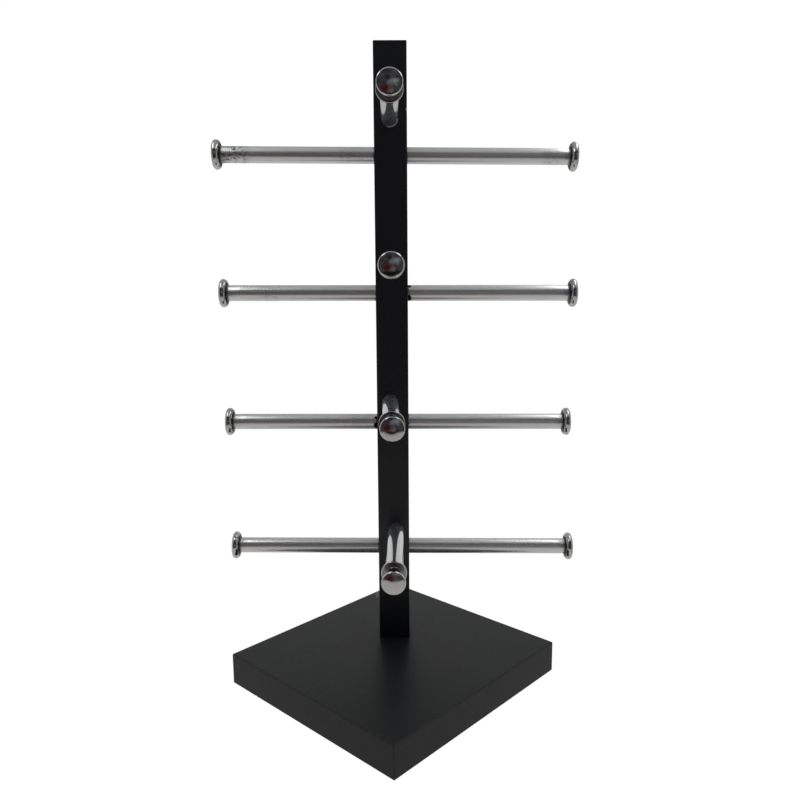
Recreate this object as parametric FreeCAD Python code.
import FreeCAD, Part
import math
import os
from FreeCAD import Vector

# Eyeglasses display stand: a square post on a nearly square board, with four
# tiers.  Each tier has one long tube through the post, left to right, and one
# short tube standing out of the post's front face.  The board is turned so
# that one diagonal runs from front to back under the post, and the post
# stands behind the board's centre, so that the front tubes hang over it.
#
# Frame, in millimetres: origin at the centre of the felt's underside, +Z up,
# -Y towards the customer (the side the short tubes point to), +X to the
# customer's right.

# ---------------------------------------------------------------- dimensions
inch = 25.4
overcut = 1.0               # how far a cutter runs past the face it opens
up = Vector(0, 0, 1)
backward = Vector(0, 1, 0)
origin = Vector(0, 0, 0)

# Base board and felt
board_a = 182.2             # edge from the left corner to the front corner
board_b = 193.0             # edge from the front corner to the right corner
board_thick = inch
board_edge_r = 1.0          # small round on every edge
felt_inset = 4.5            # the felt stops short of the board's edges
felt_thick = 1.5
felt_corner_r = 3.0

# Post
post_w = inch               # square stock
post_height = 477.0         # above the board's top face
post_edge_r = 0.8
post_y = 30.6               # post's axis behind the board's centre

# Tube, the same for the side bars and the front bars
tube_od = inch / 2.0
tube_wall = 1.0
tube_chamfer = 0.25         # on the outer edge of each end
tube_fit = 0.05             # radial clearance of a tube in its drilled hole

# Side bars, from the top down: one tube through the post, set a little off
# centre to the right.  The tubes are sawn to length by hand, and their holes
# are drilled a fraction of a degree off square.
# Columns: tier, height above the board's top face, tube length, shift to the
# right, drop of the right end in degrees (zero is level)
side_bars = [
    ("top", 395.7, 271.4, 3.7, 0.63),
    ("upper", 289.5, 273.2, 5.3, 0.31),
    ("lower", 184.5, 270.1, 4.35, 0.40),
    ("bottom", 77.4, 274.1, 7.2, 0.70),
]

# Front bars, from the top down.  Their sockets are drilled by hand too.
# Columns: tier, height of the socket above the board's top face, x where the
# tube leaves the post, x of the spool's outer button, rise of the button
# above the socket.  Zeros in the last three draw the tube square.
front_bars = [
    ("top", 421.3, -0.75, 0.5, 0.3),
    ("upper", 310.5, 0.3, 0.5, 0.0),
    ("lower", 203.0, -2.2, 0.4, 0.35),
    ("bottom", 95.8, 1.9, 0.4, -0.45),
]
front_socket_depth = 8.0    # blind hole in the post's front face
front_tube_out = 91.0       # tube's length outside the post

# Side end cap: a turned button with a low collar and then a bulging rim.
# Heights are from the tube's end.
cap_r = 11.3                # crest of the rim
cap_collar_r = 7.4
cap_collar_len = 0.5
cap_rim_back = 3.0          # round on the rim's inner side
cap_rim_out = 2.3           # round on the rim's outer side
cap_rim_z = 3.6             # where the outer round starts
cap_top = 6.3               # crown of the outer face

# Front spool: an inner flange against the tube, a neck and an outer button
spool_inner_r = 9.1
spool_inner_t = 2.6
spool_inner_rim_r = 0.45    # round on the inner flange's edges
spool_neck_r = 4.9
spool_fillet = 0.8          # at the neck's inner end
spool_outer_fillet = 1.4    # at the neck's outer end
spool_outer_r = 8.5
spool_outer_t = 3.2
spool_outer_mid = 109.8     # middle of the outer button, from the post's face
spool_rim_r = 1.1           # round on the outer button's edges
spool_dome = 1.1            # crown above the outer button's thickness

# Spigots of the caps and spools inside the tubes
spigot_fit = 0.03           # radial clearance, for the plugs as well
spigot_len = 13.0
spigot_chamfer = 0.8

# Threaded plug in each front tube's root end
plug_len = 20.0
plug_chamfer = 0.5          # on the ends and on the bore's mouth
plug_bore_depth = 16.0
plug_drill_cone = 1.2       # cone beyond the bore's full depth

# Button-head machine screw from the post's back into the plug
bolt_d = 5.0
bolt_len = 30.0
bolt_tip_chamfer = 0.6
bolt_head_r = 4.75
bolt_head_h = 2.75
bolt_head_round = 2.2
bolt_socket_af = 3.0        # hexagon socket across flats
bolt_socket_depth = 1.9
bolt_hole_d = 5.5

# Washer and its spot face, square to the bolt
washer_r = 5.0
washer_bore_r = 2.65
washer_t = 1.0
washer_round = 0.3
washer_seat = 0.3           # depth of the spot face in the post's back
spot_face_fit = 0.3         # radial clearance round the washer
spot_cutter_len = 3.0

# Pan-head self-tapping screw that locks a side tube
lock_d = 3.4
lock_len = 11.0
lock_point_len = 2.5
lock_tip_r = 0.4
lock_head_r = 3.4
lock_head_h = 2.3
lock_head_round = 1.5
lock_recess = (3.6, 0.8, 1.4)       # cross: length, width, depth
lock_fit = 0.04

# Two countersunk screws up through the board
wood_screw_d = 5.0
wood_screw_len = 55.0
wood_screw_point_len = 6.0
wood_screw_tip_r = 0.35
wood_screw_head_r = 4.9
wood_screw_rim = 0.35       # straight rim of the head
wood_screw_recess = (5.2, 1.1, 2.2)     # cross: length, width, depth
wood_screw_x = 6.5          # each side of the post's axis
wood_screw_sink = 0.02      # head's face above the board's underside
wood_screw_loose = 0.25     # radial clearance in the board
countersink_fit = 0.1       # radial clearance of the countersink
countersink_rim = 0.5       # straight part of the countersink
pilot_extra = 1.0           # pilot's depth in the post beyond the screw
screw_fit = 0.03            # radial clearance in the pilots and the plugs

# ------------------------------------------------------------ derived places
board_z0 = felt_thick
board_z1 = felt_thick + board_thick
board_turn = -math.degrees(math.atan2(board_a, board_b))
half_post = post_w / 2.0
front_y = post_y - half_post        # the post's front face
back_y = post_y + half_post         # the post's back face
tube_r = tube_od / 2.0
bore_r = tube_r - tube_wall
insert_r = bore_r - spigot_fit      # spigots and plugs
lock_hole_r = lock_d / 2.0 + lock_fit
wood_screw_xs = [-wood_screw_x, wood_screw_x]

os.makedirs("parts", exist_ok=True)


# ------------------------------------------------------------------- helpers
def save(shape, name):
    shape.exportStep("parts/" + name + ".step")


def rounded_corner(before, corner, after, radius):
    """Start, end and middle of the arc that rounds a corner."""
    to_before = before - corner
    to_after = after - corner
    to_before.normalize()
    to_after.normalize()
    half = to_before.getAngle(to_after) / 2.0
    cut = radius / math.tan(half)
    bisector = to_before + to_after
    bisector.normalize()
    middle = corner + bisector * (radius / math.sin(half) - radius)
    return corner + to_before * cut, corner + to_after * cut, middle


def crown(rim, radius, top):
    """Arcs from a point on the rim to the axis: a round of the given radius,
    then a spherical face tangent to it that meets the axis at z = top."""
    centre_r, centre_z = rim.x - radius, rim.z
    ball = ((centre_r ** 2 + (centre_z - top) ** 2 - radius ** 2)
            / (2.0 * (top - centre_z - radius)))
    ball_z = top - ball
    tilt = math.atan2(centre_r, centre_z - ball_z)      # angle from the axis

    def on_ball(angle):
        return Vector(ball * math.sin(angle), 0,
                      ball_z + ball * math.cos(angle))

    touch = on_ball(tilt)
    half_turn = (math.pi / 2.0 - tilt) / 2.0
    round_mid = Vector(centre_r + radius * math.cos(half_turn), 0,
                       centre_z + radius * math.sin(half_turn))
    return [Part.Arc(rim, round_mid, touch).toShape(),
            Part.Arc(touch, on_ball(tilt / 2.0), Vector(0, 0, top)).toShape()]


def turned(outline, crown_round=None):
    """Solid of revolution about +Z from a closed outline.

    Each point is (r, z), or (r, z, radius) for a rounded corner.  With
    crown_round, the outline starts on the axis at the crown's top, and a
    crown with that rim round closes it from the last point."""
    points = [Vector(point[0], 0, point[1]) for point in outline]
    count = len(points)
    corners = []
    for i, point in enumerate(points):
        if len(outline[i]) == 3:
            corners.append(rounded_corner(points[i - 1], point,
                                          points[(i + 1) % count],
                                          outline[i][2]))
        else:
            corners.append((point, point, None))
    edges = []
    for i, (start, end, middle) in enumerate(corners):
        if middle is not None:
            edges.append(Part.Arc(start, middle, end).toShape())
        if crown_round is not None and i == count - 1:
            edges += crown(end, crown_round, points[0].z)
            break
        following = corners[(i + 1) % count][0]
        if end.distanceToPoint(following) > 1e-7:
            edges.append(Part.makeLine(end, following))
    return Part.Face(Part.Wire(edges)).revolve(origin, up, 360)


def aim(shape, direction, at):
    """Copy of a shape drawn along +Z, turned to a direction and moved."""
    placed = shape.copy()
    placed.Placement = FreeCAD.Placement(at, FreeCAD.Rotation(up, direction))
    return placed


def cut_cross(body, recess, face_z):
    """Cut a cross recess into a screw head whose face is at face_z."""
    length, width, depth = recess
    above = 0.2             # the cutter starts this far outside the face
    for angle in (0, 90):
        slot = Part.makeBox(length, width, depth + above,
                            Vector(-length / 2.0, -width / 2.0,
                                   face_z - above))
        slot.rotate(origin, up, angle)
        body = body.cut(slot)
    return body


def make_tube(start, direction, length):
    tube = Part.makeCylinder(tube_r, length, start, direction)
    # Edges 0 and 2 are the end circles; edge 1 is the seam.
    tube = tube.makeChamfer(tube_chamfer, [tube.Edges[0], tube.Edges[2]])
    return tube.cut(Part.makeCylinder(bore_r, length + 2 * overcut,
                                      start - direction * overcut, direction))


def side_line(height, drop):
    """A side tube's crossing with the post's axis, and its direction to the
    right end."""
    angle = math.radians(drop)
    return (Vector(0, post_y, board_z1 + height),
            Vector(math.cos(angle), 0, -math.sin(angle)))


def front_line(height, root_x, tip_x, tip_rise):
    """A front tube's place on the post's face, its outward direction, and
    the seat of its washer in the post's back."""
    root = Vector(root_x, front_y, board_z1 + height)
    tip = Vector(tip_x, front_y - spool_outer_mid,
                 board_z1 + height + tip_rise)
    outward = tip - root
    outward.normalize()
    seat = root - outward * (post_w / -outward.y - washer_seat)
    return root, outward, seat


# ------------------------------------------------------------------ the base
def base_board():
    board = Part.makeBox(board_a, board_b, board_thick,
                         Vector(-board_a / 2.0, -board_b / 2.0, board_z0))
    board = board.makeFillet(board_edge_r, board.Edges)
    board.rotate(origin, up, board_turn)
    wide = wood_screw_head_r + countersink_fit
    narrow = wood_screw_d / 2.0 + countersink_fit
    for x in wood_screw_xs:
        below = Vector(x, post_y, board_z0 - overcut)
        board = board.cut(Part.makeCylinder(
            wood_screw_d / 2.0 + wood_screw_loose,
            board_thick + 2 * overcut, below, up))
        # countersink: a straight part for the head's rim, then the cone
        board = board.cut(Part.makeCylinder(
            wide, countersink_rim + overcut, below, up))
        board = board.cut(Part.makeCone(
            wide, narrow, wide - narrow,
            Vector(x, post_y, board_z0 + countersink_rim), up))
    return board


def base_felt():
    size_a = board_a - 2.0 * felt_inset
    size_b = board_b - 2.0 * felt_inset
    felt = Part.makeBox(size_a, size_b, felt_thick,
                        Vector(-size_a / 2.0, -size_b / 2.0, 0))
    upright = [edge for edge in felt.Edges
               if abs(edge.Vertexes[0].Z - edge.Vertexes[1].Z) > 1.0]
    felt = felt.makeFillet(felt_corner_r, upright)
    felt.rotate(origin, up, board_turn)
    return felt


# ------------------------------------------------------------------ the post
def post_cutters():
    cutters = []
    for _, height, _, _, drop in side_bars:
        # hole for the through tube, and the lock screw's pilot from the back
        middle, rightward = side_line(height, drop)
        cutters.append(Part.makeCylinder(
            tube_r + tube_fit, post_w + 2 * overcut,
            middle - rightward * (half_post + overcut), rightward))
        cutters.append(Part.makeCylinder(
            lock_hole_r, half_post + overcut,
            Vector(0, back_y + overcut, board_z1 + height), backward * -1))
    for _, *line in front_bars:
        # blind socket for the front tube, the bolt's hole, and the spot face
        # for its washer
        root, outward, seat = front_line(*line)
        inward = outward * -1
        cutters.append(Part.makeCylinder(
            tube_r + tube_fit, front_socket_depth + overcut,
            root + outward * overcut, inward))
        cutters.append(Part.makeCylinder(
            bolt_hole_d / 2.0, post_w + 4 * overcut,
            root + outward * (2 * overcut), inward))
        cutters.append(Part.makeCylinder(
            washer_r + spot_face_fit, spot_cutter_len, seat, inward))
    for x in wood_screw_xs:
        # pilot holes in the foot for the two wood screws
        cutters.append(Part.makeCylinder(
            wood_screw_d / 2.0 + screw_fit,
            wood_screw_len - board_thick + pilot_extra + overcut,
            Vector(x, post_y, board_z1 - overcut), up))
    return cutters


def post():
    body = Part.makeBox(post_w, post_w, post_height,
                        Vector(-half_post, front_y, board_z1))
    body = body.makeFillet(post_edge_r, body.Edges)
    for cutter in post_cutters():
        body = body.cut(cutter)
    return body


# ----------------------------------------------------------------- fasteners
def wood_screw():
    """Countersunk screw: z=0 is the head's face, point up."""
    shank_r = wood_screw_d / 2.0
    head_r = wood_screw_head_r
    body = turned([(0, 0), (head_r, 0), (head_r, wood_screw_rim),
                   (shank_r, head_r - shank_r + wood_screw_rim),
                   (shank_r, wood_screw_len - wood_screw_point_len),
                   (wood_screw_tip_r, wood_screw_len), (0, wood_screw_len)])
    return cut_cross(body, wood_screw_recess, 0)


def post_screws():
    return Part.makeCompound([
        aim(wood_screw(), up, Vector(x, post_y, board_z0 + wood_screw_sink))
        for x in wood_screw_xs])


def lock_screw():
    """Pan-head screw: z=0 under the head, shank along +Z."""
    shank_r = lock_d / 2.0
    body = turned([(0, -lock_head_h),
                   (lock_head_r, -lock_head_h, lock_head_round),
                   (lock_head_r, 0), (shank_r, 0),
                   (shank_r, lock_len - lock_point_len),
                   (lock_tip_r, lock_len), (0, lock_len)])
    return cut_cross(body, lock_recess, -lock_head_h)


def front_bolt():
    """Button-head screw: z=0 under the head, shank along +Z."""
    shank_r = bolt_d / 2.0
    body = turned([(0, -bolt_head_h),
                   (bolt_head_r, -bolt_head_h, bolt_head_round),
                   (bolt_head_r, 0), (shank_r, 0),
                   (shank_r, bolt_len - bolt_tip_chamfer),
                   (shank_r - bolt_tip_chamfer, bolt_len), (0, bolt_len)])
    corner_r = bolt_socket_af / math.sqrt(3.0)
    above = 0.5             # the cutter starts this far outside the head
    hexagon = Part.makePolygon([
        Vector(corner_r * math.cos(math.radians(60 * i)),
               corner_r * math.sin(math.radians(60 * i)),
               -bolt_head_h - above) for i in range(7)])
    return body.cut(Part.Face(hexagon).extrude(
        up * (above + bolt_socket_depth)))


def front_washer():
    return turned([(washer_bore_r, 0), (washer_r, 0, washer_round),
                   (washer_r, washer_t, washer_round),
                   (washer_bore_r, washer_t)])


def front_plug():
    """Plug: z=0 is its rear face, where the bore opens."""
    hole_r = bolt_d / 2.0 + screw_fit
    chamfer = plug_chamfer
    return turned([(hole_r + chamfer, 0), (insert_r - chamfer, 0),
                   (insert_r, chamfer), (insert_r, plug_len - chamfer),
                   (insert_r - chamfer, plug_len), (0, plug_len),
                   (0, plug_bore_depth + plug_drill_cone),
                   (hole_r, plug_bore_depth), (hole_r, chamfer)])


# ---------------------------------------------------------- caps and spools
def spigot_outline(top):
    """From the crown's top down the axis, and round a spigot up to z=0."""
    return [(0, top), (0, -spigot_len),
            (insert_r - spigot_chamfer, -spigot_len),
            (insert_r, -spigot_len + spigot_chamfer), (insert_r, 0)]


def side_cap():
    """Button cap: z=0 is the face against the tube's end, +Z is outward."""
    return turned(spigot_outline(cap_top) + [
        (cap_collar_r, 0), (cap_collar_r, cap_collar_len),
        (cap_r, cap_collar_len, cap_rim_back), (cap_r, cap_rim_z)],
        crown_round=cap_rim_out)


def front_spool():
    """Spool end: z=0 is the inner flange's face against the tube's end."""
    button_z0 = spool_outer_mid - front_tube_out - spool_outer_t / 2.0
    button_z1 = button_z0 + spool_outer_t
    return turned(spigot_outline(button_z1 + spool_dome) + [
        (spool_inner_r, 0, spool_inner_rim_r),
        (spool_inner_r, spool_inner_t, spool_inner_rim_r),
        (spool_neck_r, spool_inner_t, spool_fillet),
        (spool_neck_r, button_z0, spool_outer_fillet),
        (spool_outer_r, button_z0, spool_rim_r),
        (spool_outer_r, button_z1 - spool_rim_r)],
        crown_round=spool_rim_r)


# ----------------------------------------------------------------- the tiers
def save_side_bars():
    cap = side_cap()
    lock = lock_screw()
    for tier, height, length, shift, drop in side_bars:
        middle, rightward = side_line(height, drop)
        left = middle + rightward * (shift - length / 2.0)
        right = middle + rightward * (shift + length / 2.0)
        tube = make_tube(left, rightward, length)
        # hole for the lock screw in the tube's back wall, at the post's axis
        tube = tube.cut(Part.makeCylinder(lock_hole_r, tube_r + overcut,
                                          middle, backward))
        save(tube, "side_bar_" + tier)
        save(aim(cap, rightward * -1, left), "side_cap_left_" + tier)
        save(aim(cap, rightward, right), "side_cap_right_" + tier)
        save(aim(lock, backward * -1, Vector(0, back_y, middle.z)),
             "side_bar_lock_screw_" + tier)


def save_front_bars():
    spool = front_spool()
    plug = front_plug()
    washer = front_washer()
    bolt = front_bolt()
    for tier, *line in front_bars:
        root, outward, seat = front_line(*line)
        inner_end = root - outward * front_socket_depth
        outer_end = root + outward * front_tube_out
        save(make_tube(inner_end, outward,
                       front_socket_depth + front_tube_out),
             "front_bar_" + tier)
        save(aim(spool, outward, outer_end), "front_spool_" + tier)
        save(aim(plug, outward, inner_end), "front_plug_" + tier)
        save(aim(washer, outward * -1, seat), "front_washer_" + tier)
        save(aim(bolt, outward, seat - outward * washer_t),
             "front_bolt_" + tier)


save(base_board(), "base_board")
save(base_felt(), "base_felt")
save(post(), "post")
save(post_screws(), "post_screws")
save_side_bars()
save_front_bars()
